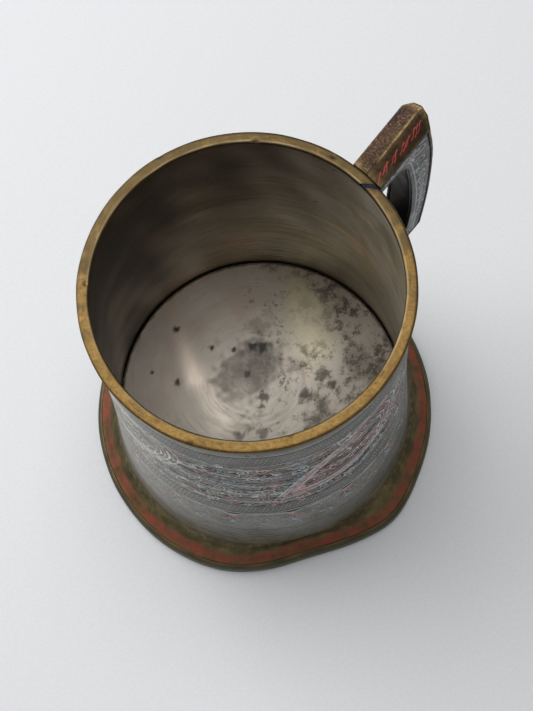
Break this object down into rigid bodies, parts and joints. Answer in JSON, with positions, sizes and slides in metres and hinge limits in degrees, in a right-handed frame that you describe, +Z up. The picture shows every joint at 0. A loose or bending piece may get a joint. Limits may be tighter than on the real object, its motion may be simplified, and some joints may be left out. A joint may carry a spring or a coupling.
{
  "type": "mug",
  "caption": "Flared brass drinking mug with engraved tinned sides, bare rim, hollow foot with a dented edge, and an angular hollow handle with a ridged outer strip.",
  "frame": {"origin": "on the table plane, under the middle of the whole outline of foot and handle; the mug's own axis stands 4.2 mm towards -X", "axes": "+Z up along the mug's axis, +X towards the handle"},
  "size_m": [0.1303, 0.1219, 0.1388],
  "materials": {
    "tinned_engraved_brass": "tinned grey outside with engraved, pink, white and pale blue filled ornament; red lacquer band on a bare foot; tinned and worn inside",
    "bare_brass": "worn, hand-polished yellow brass",
    "solder": "dark, dull soft solder",
    "tinned_floor": "turned and tinned, silver beige with dark stains",
    "aged_foot_brass": "dark olive patina with a worn edge",
    "engraved_cheek": "tinned grey with light engraved scrolls",
    "copper_brown_patina": "copper-brown patina, stippled, with red slanted strokes and a rubbed bright ridge"
  },
  "bodies": {
    "root": {"body_wall": "tinned_engraved_brass", "rim_ring": "bare_brass", "rim_joint_solder": "solder", "floor_disc": "tinned_floor", "floor_solder": "solder", "foot_ring": "aged_foot_brass", "handle_cheek_right": "engraved_cheek", "handle_cheek_left": "engraved_cheek", "handle_spine_top": "copper_brown_patina", "handle_spine_back": "copper_brown_patina", "handle_spine_bottom": "copper_brown_patina", "handle_inner_strap": "engraved_cheek", "handle_upper_solder": "solder", "handle_lower_solder": "solder"}
  },
  "joints": []
}
